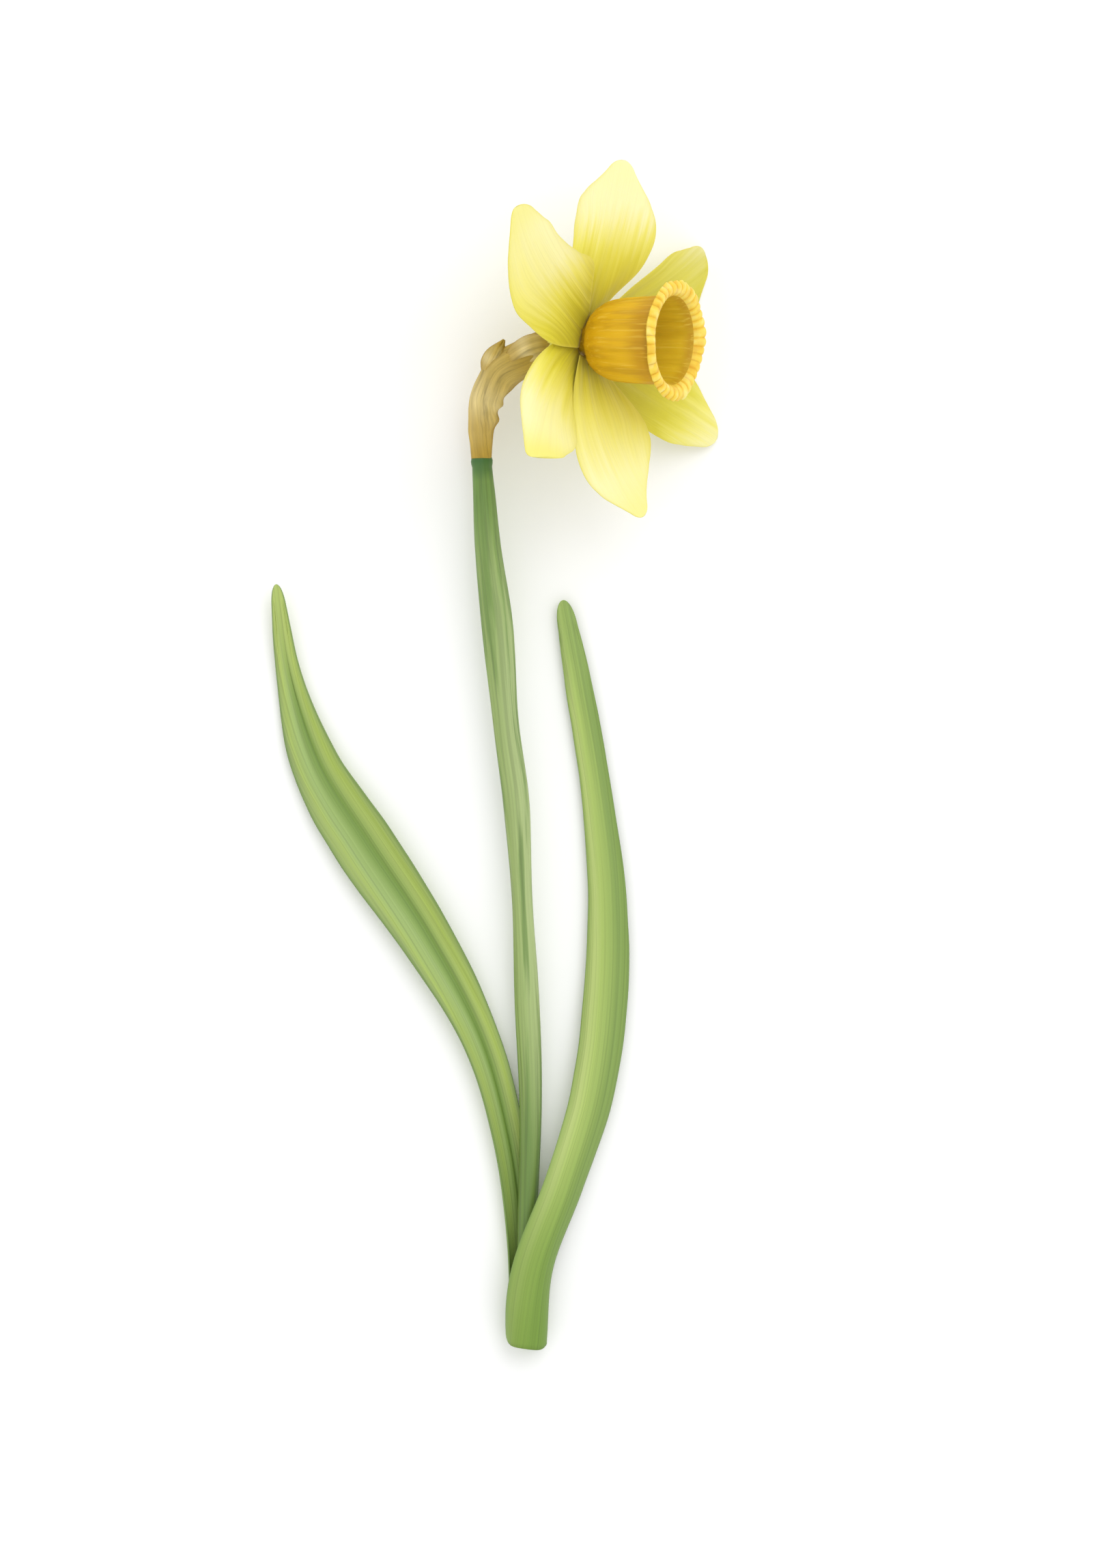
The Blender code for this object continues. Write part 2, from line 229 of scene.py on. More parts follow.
# %% Outlines with a rounded tip
TIP_CROWDING = 1.7   # rows lie closer together towards the tip, where an outline turns fastest
OUTLINE_ROWS = 120   # half widths are worked out at this many places along a blade
CORNER_STEPS = 16    # and each is sought in this many steps across


def rounded_outline(outline, rounding, power):
    """Half widths, row by row, with the tip rounded off to a point of no width. The rounding
    is how far the tip's corners are drawn back; a higher power keeps it to the tip."""
    halves = []
    for row in range(OUTLINE_ROWS + 1):
        along = 1 - (1 - row / OUTLINE_ROWS) ** TIP_CROWDING
        left_over = min((1 - along) / rounding, 1.0)
        widest = math.sqrt(max(1 - (1 - left_over) ** 2, 0))
        half = 0.0
        for i in range(1, CORNER_STEPS + 1):
            w = widest * i / CORNER_STEPS
            drop = rounding * (1 - math.sqrt(max(1 - w * w, 0)))
            t = along
            for _ in range(8):
                t = along + drop * min(t, 1.0) ** power
            half = max(half, w * spline(outline, min(t, 1.0)))
        halves.append(half)
    return halves


def outline_at(halves, t):
    """The half width at t, from a list that rounded_outline made."""
    row = (1 - (1 - t) ** (1 / TIP_CROWDING)) * OUTLINE_ROWS
    low = min(int(row), OUTLINE_ROWS - 1)
    return halves[low] + (halves[low + 1] - halves[low]) * (row - low)


print("a rounded tip's last half widths:",
      [round(half, 2) for half in rounded_outline((1, 1), 0.1, 4)[-4:]])

# %% [markdown]
# ## Finishes
# Plant tissue is never one colour. Each finish here mixes a few colours by place on the
# piece, lets fine streaks follow the grain, and turns the same streaks into a slight
# bump. A painted texture could be used instead, but nodes stay sharp at any distance and
# can be tuned one by one.

# %% Helpers for node-based finishes
UNDER_LIGHT = 0.9   # colours are lowered to this share, since the studio brightens them


def tint(red, green, blue):
    """A colour given as it shows on a screen, 0 to 255, in the linear light of shaders."""
    linear = []
    for value in (red, green, blue):
        share = value / 255
        level = share / 12.92 if share <= 0.04045 else ((share + 0.055) / 1.055) ** 2.4
        linear.append(level * UNDER_LIGHT)
    return (*linear, 1.0)


def add(tree, kind, settings=None, **inputs):
    """Add a node. Inputs are values, or other nodes' sockets to link; _ stands for a space."""
    new = tree.nodes.new(kind)
    for key, value in (settings or {}).items():
        setattr(new, key, value)
    for key, value in inputs.items():
        number = key[1:]
        target = new.inputs[int(number) if number.isdigit() else key.replace("_", " ")]
        if isinstance(value, bpy.types.NodeSocket):
            tree.links.new(value, target)
        else:
            target.default_value = value
    return new


def calculate(tree, operation, first, second=0.0, third=0.0):
    """One arithmetic node."""
    settings = {"operation": operation}
    return add(tree, "ShaderNodeMath", settings, n0=first, n1=second, n2=third).outputs[0]


def blend_colours(tree, share, under, over, way="MIX"):
    """Lay one colour over another."""
    settings = {"data_type": "RGBA", "blend_type": way, "clamp_factor": True}
    return add(tree, "ShaderNodeMix", settings, n0=share, n6=under, n7=over).outputs[2]


def ramp(tree, position, stops, smooth=True):
    """Colours at places along a scale from 0 to 1."""
    new = add(tree, "ShaderNodeValToRGB", n0=position)
    if smooth:
        new.color_ramp.interpolation = "EASE"
    elements = new.color_ramp.elements
    while len(elements) < len(stops):
        elements.new(1.0)
    for element, (at, colour) in zip(elements, stops):
        element.position = at
        element.color = colour
    return new.outputs[0]


def grey(level):
    """A grey in linear light; levels above 1 brighten what they multiply."""
    return (level, level, level, 1.0)


def places(tree):
    """How far across (-1 to 1) and along (0 to 1) the piece a point lies."""
    spot = add(tree, "ShaderNodeAttribute", {"attribute_name": "place"})
    parts = add(tree, "ShaderNodeSeparateXYZ", Vector=spot.outputs["Vector"])
    return parts.outputs[0], parts.outputs[1]


def streaks(tree, fine, stretch, seed=0.0, detail=3.0):
    """Streaks that run along the tissue: fine is lines per mm, stretch their length in mm."""
    spot = add(tree, "ShaderNodeAttribute", {"attribute_name": "grain"})
    scaled = add(tree, "ShaderNodeMapping", Vector=spot.outputs["Vector"],
                 Location=(seed, seed, seed), Scale=(fine, fine, 1 / stretch))
    return add(tree, "ShaderNodeTexNoise", Vector=scaled.outputs[0], Scale=1.0,
               Detail=detail).outputs[0]


def start_finish(name):
    """A new material, its node tree and its main shader."""
    finish = bpy.data.materials.new(name)
    finish.use_nodes = True
    return finish, finish.node_tree, finish.node_tree.nodes["Principled BSDF"]


def tune(shader, **inputs):
    """Set inputs of a finish's main shader; _ stands for a space."""
    for key, value in inputs.items():
        shader.inputs[key.replace("_", " ")].default_value = value


def draw_lines(tree, fine, body, share, dark, bright, start=0.34, middle=0.5):
    """Darken and brighten a colour along its finest streaks."""
    lines = ramp(tree, fine, ((start, grey(dark)), (middle, grey(1.0)), (0.7, grey(bright))))
    return blend_colours(tree, share, body, lines, "MULTIPLY")


def tone_edges(tree, across, power, strength, body, colour):
    """Lay a colour over a blade's two edges; a higher power keeps it nearer to them."""
    edge = calculate(tree, "POWER", calculate(tree, "ABSOLUTE", across), power)
    return blend_colours(tree, calculate(tree, "MULTIPLY", edge, strength), body, colour)


def connect(tree, shader, colour, relief, swing, floor, depth):
    """Link a finish's colour and relief, whose height is depth metres. The roughness follows
    the relief: it rises by swing from its floor."""
    roughness = calculate(tree, "MULTIPLY_ADD", relief, swing, floor)
    bump = add(tree, "ShaderNodeBump", Height=relief, Strength=0.6, Distance=depth)
    tree.links.new(colour, shader.inputs["Base Color"])
    tree.links.new(roughness, shader.inputs["Roughness"])
    tree.links.new(bump.outputs[0], shader.inputs["Normal"])


print("a screen grey of 128 is", round(tint(128, 128, 128)[0], 3), "in linear light")

# %% [markdown]
# ## Tepal finish
# A tepal is olive where it leaves the tube, turns through yellow to lemon, and ends almost
# cream. On the side that bends back into the light the change comes sooner: that paler side
# is a painted highlight laid over the tissue's own colours. So the finish has four colours,
# and each tepal says how far from its root they come on either side. Some tips turn warm
# again, and a thin darker line follows the edge.

# %% Tepal finish
OLIVE, YELLOW = tint(194, 182, 26), tint(224, 214, 56)
LEMON, CREAM = tint(243, 234, 108), tint(253, 247, 186)
TEPAL_SCALE = 1.5   # the ramp reaches this many blade lengths


def make_tepal_finish(name, left, right, shade, tip, seed):
    """left and right say where yellow, lemon and cream come along each side of the blade; a side
    that pales sooner carries a painted highlight. shade is how much greener the whole blade is,
    and tip how much yellower its tip."""
    finish, tree, shader = start_finish(name)
    across, along = places(tree)
    soft = streaks(tree, 0.7, 26, seed, 4)
    fine = streaks(tree, 3.0, 40, seed + 4, 2)
    uneven = calculate(tree, "MULTIPLY_ADD", soft, 0.34, -0.17)
    reach = calculate(tree, "DIVIDE", calculate(tree, "ADD", along, uneven), TEPAL_SCALE)
    sides = []
    for yellow, lemon, cream in (left, right):
        stops = ((0.0, OLIVE), (yellow / TEPAL_SCALE, YELLOW), (lemon / TEPAL_SCALE, LEMON),
                 (cream / TEPAL_SCALE, CREAM))
        sides.append(ramp(tree, reach, stops, smooth=False))
    # Painted highlight: the two sides' ramps differ, and the side that pales sooner stands in for
    # light.
    turn = calculate(tree, "MULTIPLY_ADD", across, 0.5, 0.5)
    body = blend_colours(tree, turn, *sides)
    body = blend_colours(tree, shade, body, tint(196, 190, 84))
    body = draw_lines(tree, fine, body, 0.35, 0.90, 1.03, 0.36, 0.52)
    rooted = calculate(tree, "MULTIPLY", ramp(tree, along, ((0.05, grey(0.45)), (0.36, grey(0.0)))),
                       ramp(tree, fine, ((0.40, grey(1.0)), (0.60, grey(0.25)))))
    body = blend_colours(tree, rooted, body, tint(186, 174, 44))
    near_tip = ramp(tree, along, ((0.72, grey(0.0)), (0.98, grey(1.0))))
    body = blend_colours(tree, calculate(tree, "MULTIPLY", near_tip, tip), body, LEMON)
    body = tone_edges(tree, across, 16.0, 0.6, body, tint(224, 210, 84))
    connect(tree, shader, body, fine, 0.2, 0.42, 0.12 * MM)
    tune(shader, Subsurface_Weight=0.2, Subsurface_Radius=(1.0, 0.9, 0.25),
         Subsurface_Scale=1.2 * MM, Specular_IOR_Level=0.3, Sheen_Weight=0.08)
    return finish


# %% [markdown]
# ## Tepals
# Each tepal grows from a ring round the tube's mouth. Its midrib is drawn station by
# station: it leans forwards, sweeps sideways and twists, and the blade is then spread to
# either side by two outlines. Fine veins, a groove over the midrib, soft folds near the
# root and a slightly wavy edge are real shape, not only bump, so they show in every light.

# %% Where the flower looks, and the tepals' shapes
FLOWER_CENTRE = mm(24.2, 110.5, 31.0)
TRUMPET_TILT, TRUMPET_TURN = math.radians(28.5), math.radians(-4.0)
OUTER_TEPALS_AT, INNER_TEPALS_AT, TRUMPET_AT = 0.0 * MM, 1.15 * MM, 2.6 * MM
TEPAL_ROOT_RADIUS = 4.4 * MM
TEPAL_THICKNESS = 0.6 * MM
TEPAL_STEPS = 60
TEPAL_REACH = 1.1    # the midrib is followed this far, for a slanting tip

level = math.cos(TRUMPET_TILT)
AXIS = Vector((level * math.cos(TRUMPET_TURN), level * math.sin(TRUMPET_TURN),
               math.sin(TRUMPET_TILT)))
ACROSS = UP.cross(AXIS).normalized()
DOWN = ACROSS.cross(AXIS)

# Angles are in degrees round the trumpet's axis, clockwise from the top; lengths in mm. lean,
# sweep and twist turn the midrib from root to tip. left and right are half widths from root
# to tip, as shares of half the width, before and after the midrib going clockwise. cup
# bends both edges forwards, and slant pushes one side's tip out and draws the other's back.
# The two pale lists of each tepal say where each side turns yellow, lemon and cream; the side that
# pales sooner carries a painted highlight.
TEPALS = (
    dict(name="tepal_outer_top", outer=True, angle=2, length=44.5, width=27,
         lean=(10, 11, 8, 5), sweep=(0, 0, 0, 0), twist=(0, 24, 34, 34), cup=-0.08,
         left=(0.32, 0.60, 0.70, 0.76, 0.74, 0.36), right=(0.25, 0.60, 0.98, 1.08, 0.88, 0.38),
         slant=0.0, rounding=0.15, shade=0.0, tip=0.1,
         pale_and_lit_left=(0.26, 0.46, 0.64), pale_and_lit_right=(0.42, 0.58, 0.74)),
    dict(name="tepal_inner_right_upper", outer=False, angle=58, length=46.5, width=26,
         lean=(6, 16, 18, 14), sweep=(0, 0, -4, -8), twist=(0, 0, 0, 0), cup=0.10,
         left=(0.24, 0.32, 0.44, 0.50, 0.58, 0.44), right=(0.34, 0.66, 0.96, 1.10, 1.00, 0.56),
         slant=0.0, rounding=0.15, shade=0.3, tip=0.0,
         pale_and_lit_left=(0.58, 0.78, 1.00), pale_and_lit_right=(0.92, 1.25, 1.55)),
    dict(name="tepal_outer_right_lower", outer=True, angle=118, length=49, width=27,
         lean=(8, 22, 28, 26), sweep=(0, -2, -3, -3), twist=(0, 0, 0, 0), cup=-0.08,
         left=(0.34, 0.66, 0.95, 1.04, 0.96, 0.52), right=(0.34, 0.50, 0.60, 0.66, 0.62, 0.40),
         slant=0.0, rounding=0.15, shade=0.1, tip=0.1,
         pale_and_lit_left=(0.74, 0.88, 1.1), pale_and_lit_right=(0.62, 0.74, 0.96)),
    dict(name="tepal_inner_bottom", outer=False, angle=180, length=46, width=26,
         lean=(6, 20, 27, 30), sweep=(0, -2, -12, -32), twist=(0, -20, -30, -24), cup=0.10,
         left=(0.34, 0.86, 1.08, 1.0, 0.74, 0.30), right=(0.40, 0.59, 0.69, 0.80, 0.70, 0.28),
         slant=0.0, rounding=0.15, shade=0.0, tip=0.5,
         pale_and_lit_left=(0.16, 0.46, 0.95), pale_and_lit_right=(0.10, 0.33, 0.72)),
    dict(name="tepal_outer_left_lower", outer=True, angle=238, length=43, width=24,
         lean=(2, 5, 9, 9), sweep=(0, -12, -23, -26), twist=(0, -12, -24, -32), cup=-0.13,
         left=(0.38, 0.86, 1.12, 1.17, 1.10, 0.83), right=(0.32, 0.56, 0.71, 0.70, 0.48, 0.26),
         slant=0.14, rounding=0.08, shade=0.0, tip=0.8,
         pale_and_lit_left=(0.26, 0.50, 1.0), pale_and_lit_right=(0.26, 0.42, 0.62)),
    dict(name="tepal_inner_left_upper", outer=False, angle=298, length=47.5, width=30,
         lean=(-5, -6, -1, 6), sweep=(0, 4, 12, 24), twist=(0, 10, 10, 6), cup=0.12,
         left=(0.36, 0.72, 0.86, 0.95, 0.72, 0.28), right=(0.34, 1.02, 0.88, 0.74, 0.68, 0.48),
         slant=0.0, rounding=0.15, shade=0.0, tip=0.5,
         pale_and_lit_left=(0.28, 0.56, 1.2), pale_and_lit_right=(0.14, 0.28, 0.48)),
)


def around_axis(along, radius, angle):
    """A point round the trumpet's axis; angle 0 is towards +Y."""
    outward = ACROSS * math.cos(angle) + DOWN * math.sin(angle)
    return FLOWER_CENTRE + AXIS * along + outward * radius


def tepal_stations(tepal):
    """The midrib as frames: point, direction across the blade, direction to its front."""
    angle = math.radians(tepal["angle"])
    outward = ACROSS * math.cos(angle) + DOWN * math.sin(angle)
    around = DOWN * math.cos(angle) - ACROSS * math.sin(angle)
    layer = OUTER_TEPALS_AT if tepal["outer"] else INNER_TEPALS_AT
    point = FLOWER_CENTRE + AXIS * layer + outward * TEPAL_ROOT_RADIUS
    stations = []
    for i in range(TEPAL_STEPS + 1):
        t = i / TEPAL_STEPS * TEPAL_REACH
        lean = math.radians(spline(tepal["lean"], t))
        sweep = math.radians(spline(tepal["sweep"], t))
        twist = math.radians(spline(tepal["twist"], t))
        flat = outward * math.cos(sweep) + around * math.sin(sweep)
        heading = flat * math.cos(lean) + AXIS * math.sin(lean)
        side = around * math.cos(sweep) - outward * math.sin(sweep)
        front = heading.cross(side)
        if front.dot(AXIS) < 0:
            front = -front
        stations.append((point, side * math.cos(twist) + front * math.sin(twist),
                         front * math.cos(twist) - side * math.sin(twist)))
        point = point + heading * (tepal["length"] * TEPAL_REACH * MM / TEPAL_STEPS)
    return stations


def tepal_relief(t, w, seed):
    """How far the blade's surface stands forward of a smooth one."""
    free = 1 - w ** 4
    turn = 2 * math.pi
    veins = 0.028 * math.cos(turn * (6.5 * w + 0.25 * wander(seed, 3 * t)))
    veins *= free * rise(0.02, 0.3, t)
    groove = -0.30 * bump_at(0, 0.07, w) * (1 - rise(0.5, 0.95, t))
    folds = 0.22 * math.cos(turn * (1.6 * w + 0.2 * seed))
    folds *= free * rise(0.0, 0.2, t) * (1 - rise(0.35, 0.8, t))
    wave = 0.55 * wander(seed, 1.3 * w, 2.6 * t) * w * w * rise(0.3, 0.7, t)
    return (veins + groove + folds + wave) * MM


def tepal_shape(tepal, seed):
    """The function that places a tepal's surface."""
    stations = tepal_stations(tepal)
    outlines = [rounded_outline(tepal[key], tepal["rounding"], 4) for key in ("left", "right")]

    def shape(t, w):
        share = outline_at(outlines[w > 0], t)
        uneven = 1 + 0.022 * wander(seed, 9 * t, 2 * (w > 0)) * rise(0.3, 0.6, t)
        half = share * tepal["width"] / 2 * MM * uneven
        along = t + t ** 4 * tepal["slant"] * w * share
        place = min(max(along / TEPAL_REACH, 0), 1) * TEPAL_STEPS
        i = min(int(place), TEPAL_STEPS - 1)
        here, after = stations[i], stations[i + 1]
        point, side, front = (a.lerp(b, place - i) for a, b in zip(here, after))
        forward = tepal["cup"] * half * w * w + tepal_relief(t, w, seed) * min(share / 0.4, 1)
        return point + side * (w * half) + front * forward

    return shape


# %% Growing the six tepals
TEPAL_COLUMNS, TEPAL_ROWS = 44, 84

for number, tepal in enumerate(TEPALS):
    look = make_tepal_finish(tepal["name"] + "_tissue", tepal["pale_and_lit_left"], tepal["pale_and_lit_right"],
                             tepal["shade"], tepal["tip"], 1.7 * number)
    grow_blade(tepal["name"].replace("tepal", "petal"), [look], TEPAL_COLUMNS, TEPAL_ROWS,
               tepal_shape(tepal, number + 1), TEPAL_THICKNESS, edge_share=0.35,
               node=tepal["name"], crowding=TIP_CROWDING)

# %% [markdown]
# ## Trumpet
# The trumpet (the corona) is one tube of thicker tissue. It swells from the tepals into a
# barrel, and at the mouth it turns outwards and is gathered into a frill. A lathe shape
# gives the tube; ribs, pleats and an uneven rim are added round it by angle. The inside
# and the outside differ in colour, so Solidify gives its inner skin the second finish.

# %% Trumpet finishes
def make_trumpet_finish(name, stops, frill_at, dark, light, seed):
    """Golden tissue with streaks along the trumpet, and a paler frill past frill_at, with
    painted shade in the notches between its pleats and painted highlights on their crests.
    """
    finish, tree, shader = start_finish(name)
    _, along = places(tree)
    soft = streaks(tree, 0.42, 22, seed, 4)
    fine = streaks(tree, 1.5, 70, seed + 7, 3)
    body = ramp(tree, along, stops)
    shadows = ramp(tree, soft, ((0.36, grey(1.0)), (0.56, grey(0.0))))
    body = blend_colours(tree, calculate(tree, "MULTIPLY", shadows, 0.55), body, dark)
    gleams = ramp(tree, fine, ((0.55, grey(0.0)), (0.70, grey(1.0))))
    body = blend_colours(tree, calculate(tree, "MULTIPLY", gleams, 0.42), body, light)
    pleats = add(tree, "ShaderNodeAttribute", {"attribute_name": "pleat"}).outputs["Fac"]
    frilled = calculate(tree, "GREATER_THAN", along, frill_at)
    # Painted light on the frill: its notches are painted shade and its crests a painted highlight;
    # the blots add orange patches of the tissue's own colour and pale painted highlights.
    crest = ramp(tree, pleats, (
        (0.0, tint(196, 136, 18)), (0.25, tint(236, 186, 38)), (0.6, tint(250, 216, 74)),
        (0.9, tint(253, 232, 112))))
    blots_and_highlights = ramp(tree, soft, (
        (0.36, tint(232, 170, 30)), (0.52, tint(248, 212, 66)), (0.68, tint(253, 238, 150))))
    crest = blend_colours(tree, 0.4, crest, blots_and_highlights)
    body = blend_colours(tree, frilled, body, crest)
    connect(tree, shader, body, fine, 0.25, 0.38, 0.18 * MM)
    tune(shader, Subsurface_Weight=0.15, Subsurface_Radius=(1.0, 0.7, 0.15),
         Subsurface_Scale=1.0 * MM, Specular_IOR_Level=0.35)
    return finish


# The outside darkens from 0.64 to 0.74, where the barrel turns out under the frill: that band is
# painted shade.
trumpet_outside = make_trumpet_finish(
    "trumpet_outside", ((0.0, tint(158, 130, 20)), (0.12, tint(196, 152, 16)),
                        (0.24, tint(222, 172, 18)), (0.5, tint(232, 184, 20)),
                        (0.64, tint(210, 158, 16)), (0.74, tint(172, 126, 12))),
    0.79, tint(190, 142, 14), tint(246, 208, 80), 0.0)
# The inside is painted paler and yellower than the outside: painted light that lifts the cavity,
# where little light reaches.
trumpet_inside = make_trumpet_finish(
    "trumpet_inside", ((0.0, tint(222, 208, 74)), (0.3, tint(240, 214, 60)),
                       (0.64, tint(238, 206, 48)), (0.74, tint(206, 162, 28))),
    0.76, tint(218, 184, 40), tint(252, 230, 96), 3.0)

# %% Trumpet shape
TRUMPET_PROFILE = [Vector(pair) for pair in (   # radius and distance along the axis, in mm
    (3.9, -2.6), (5.0, 0.2), (7.9, 1.9), (9.9, 5.4), (10.7, 9.6), (11.0, 14.0),
    (11.2, 18.4), (11.5, 22.0), (12.6, 24.6), (14.4, 25.2), (15.8, 24.2))]
TRUMPET_WALL = 0.75 * MM
TRUMPET_BEND = 0.026   # how far it leans towards +Y, as a share of its length
PLEATS = 36
STEPS_PER_PLEAT, TRUMPET_RINGS = 10, 62


def pleat_height(angle):
    """0 in the notch between two pleats, 1 on a pleat's crest; pleats vary in width."""
    x, y = math.cos(angle), math.sin(angle)
    turn = PLEATS * angle / 2 + 1.3 * wander(31, 2.2 * x, 2.2 * y)
    return abs(math.sin(turn)) ** 0.65 * (0.8 + 0.45 * wander(32, 4.1 * x, 4.1 * y))


def trumpet_shape(t, angle):
    """The profile turned round the axis, with ribs on the barrel and pleats on the frill."""
    radius, along = spline(TRUMPET_PROFILE, t)
    x, y = math.cos(angle), math.sin(angle)
    barrel = rise(0.05, 0.25, t) * (1 - rise(0.6, 0.74, t))
    radius += barrel * (0.10 * math.cos(24 * angle) + 0.35 * wander(5, 3.5 * x, 3.5 * y, 1.2 * t))
    frill = rise(0.74, 0.96, t)
    pleat = pleat_height(angle) - 0.55
    along += frill * (0.45 * pleat + 0.6 * wander(7, 2.5 * x, 2.5 * y))
    radius += frill * frill * (0.8 * pleat + 0.5 * wander(9, 2 * x, 2 * y))
    point = around_axis(TRUMPET_AT + along * MM, radius * MM, angle)
    return point + ACROSS * along * TRUMPET_BEND * MM


# %% Growing the trumpet
def grow_trumpet():
    """The tube of tissue, with the pleats' heights stored for its finish."""
    bm = round_tube(PLEATS * STEPS_PER_PLEAT, TRUMPET_RINGS, False)
    pleat = bm.verts.layers.float.new("pleat")
    weight = bm.verts.layers.deform.verify()
    placed = []
    for vert in bm.verts:
        t, angle = vert.co.z + 0.5, math.atan2(vert.co.y, vert.co.x)
        radius, along = spline(TRUMPET_PROFILE, t)
        vert[pleat] = pleat_height(angle)
        vert[weight][0] = 1 - rise(0.9, 1.0, t)
        millimetres = Vector((math.cos(angle) * radius, math.sin(angle) * radius, along))
        placed.append((trumpet_shape(t, angle), t, math.cos(angle), millimetres))
    lay_out(bm, placed)
    bmesh.ops.reverse_faces(bm, faces=bm.faces)
    for face in bm.faces:
        face.smooth = True
    return finish_piece(bm, "trumpet", [trumpet_outside, trumpet_inside], "corona",
                        {"thickness": TRUMPET_WALL, "edge_share": 0.5})


grow_trumpet()

# %% [markdown]
# ## Stamens and pistil
# Deep in the trumpet stand six stamens round one pistil. A stamen is a thin filament with
# a long, dusty anther, and the pistil ends in a three-lobed stigma. They are small rods
# whose radius changes along their length; a lathe would do, but the anther has a groove.

# %% Pollen and style finishes
def make_dusty_finish(name, deep, pale, scale):
    """A soft finish speckled with grains."""
    finish, tree, shader = start_finish(name)
    spot = add(tree, "ShaderNodeTexCoord")
    grains = add(tree, "ShaderNodeTexNoise", Vector=spot.outputs["Object"], Scale=scale, Detail=3.0)
    body = ramp(tree, grains.outputs[0], ((0.35, deep), (0.65, pale)))
    connect(tree, shader, body, grains.outputs[0], 0.3, 0.55, 0.2 * MM)
    return finish


pollen = make_dusty_finish("pollen", tint(214, 158, 30), tint(248, 208, 70), 2600.0)
style = make_dusty_finish("style_tissue", tint(196, 196, 96), tint(226, 222, 130), 900.0)

# %% Growing the stamens and the pistil
STAMEN_COUNT = 6
STAMEN_FOOT, STAMEN_TIP, STAMEN_RING = -1.5 * MM, 12.0 * MM, 2.8 * MM
STAMEN_RADII = (0.42, 0.42, 0.42, 0.48, 0.95, 1.05, 0.95, 0.3)   # mm
PISTIL_TIP = 15.0 * MM
NECK = (mm(-3.5, 79.6, 12.0), mm(-3.5, 88.0, 12.0), mm(-2.4, 95.8, 13.2), mm(1.7, 102.2, 16.2),
        mm(8.4, 106.8, 20.4), mm(15.6, 110.4, 26.2), mm(23.2, 110.6, 30.4))
PEDICEL_SPAN, OVARY_SPAN, TUBE_SPAN = (0.004, 0.56), (0.567, 0.75), (0.757, 1.0)


def stamen_shape(turn):
    """A filament and its anther, whose groove faces the pistil."""

    def shape(t, angle):
        centre = around_axis(STAMEN_FOOT + t * (STAMEN_TIP - STAMEN_FOOT), STAMEN_RING, turn)
        groove = 1 - 0.16 * rise(0.5, 0.6, t) * bump_at(0, 0.5, math.sin((angle - turn) / 2))
        across = ACROSS * math.cos(angle) + DOWN * math.sin(angle)
        return centre + across * spline(STAMEN_RADII, t) * groove * MM

    return shape


for number in range(STAMEN_COUNT):
    turn = 2 * math.pi * number / STAMEN_COUNT
    grow_rod("anther_%d" % (number + 1), [pollen], 20, 40, stamen_shape(turn),
             STAMEN_TIP - STAMEN_FOOT, "stamen_%d" % (number + 1))

style_start = OVARY_SPAN[1] + 0.012
STYLE_LINE = [spline(NECK, style_start + (1 - style_start) * i / 3) for i in range(4)]
STYLE_LINE += [around_axis(along, 0, 0) for along in (1.0 * MM, 8.0 * MM, PISTIL_TIP)]


def pistil_shape(t, angle):
    """A slender style that ends in three lobes."""
    point, _, side, top = frame_on(STYLE_LINE, t)
    lobed = rise(0.88, 0.93, t) * (0.7 + 0.35 * math.cos(3 * angle)) * (1 - 0.4 * rise(0.97, 1, t))
    return point + (side * math.cos(angle) + top * math.sin(angle)) * (0.6 + lobed) * MM


grow_rod("style_and_stigma", [style], 24, 70, pistil_shape, length=27 * MM,
         node="pistil")

# %% [markdown]
# ## Neck: flower stalk, ovary and tube
# Behind the tepals the flower narrows to a tube, sits on its green ovary, and bends down
# to a short stalk. The three are hidden from above by the sheath, but they are what you
# see from behind, so they get the stem's streaked green and the tepals' yellow.

# %% Green and tube finishes
def make_green_finish(name, deep, middle, pale, seed):
    """Streaked tissue in three tones."""
    finish, tree, shader = start_finish(name)
    soft = streaks(tree, 0.5, 30, seed, 4)
    fine = streaks(tree, 2.4, 60, seed + 5, 3)
    body = ramp(tree, soft, ((0.3, deep), (0.5, middle), (0.72, pale)))
    body = draw_lines(tree, fine, body, 0.8, 0.82, 1.08)
    connect(tree, shader, body, fine, 0.25, 0.36, 0.2 * MM)
    return finish


neck_green = make_green_finish(
    "neck_green", tint(92, 126, 50), tint(120, 154, 66), tint(150, 180, 90), 2.0)
tube_tissue = make_green_finish(
    "tube_tissue", tint(190, 186, 60), tint(222, 212, 80), tint(238, 230, 120), 6.0)

# %% Growing the neck
TUBE_RADII = (2.3, 2.6, 3.4, 4.4)   # mm, from the ovary to the tepals


def neck_shape(span, radius):
    """A rod along the neck; radius(t, angle) is in millimetres."""

    def shape(t, angle):
        point, _, side, top = frame_on(NECK, span[0] + t * (span[1] - span[0]))
        return point + (side * math.cos(angle) + top * math.sin(angle)) * radius(t, angle) * MM

    return shape


def stalk_radius(t, angle):
    """A plain stalk with seven faint ridges."""
    return 1.5 + 0.05 * math.cos(7 * angle)


def ovary_radius(t, angle):
    """A swelling with three lobes, one for each of its chambers."""
    swell = 0.55 + 0.45 * math.sin(math.pi * (0.08 + 0.84 * t))
    seam = 0.12 * bump_at(0, 0.12, math.sin(1.5 * angle))
    return 2.9 * swell * (1 + 0.06 * math.cos(3 * angle)) - seam


def tube_radius(t, angle):
    """A tube that widens towards the tepals, with six ribs at its mouth."""
    return spline(TUBE_RADII, t) * (1 + 0.03 * math.cos(6 * angle) * t)


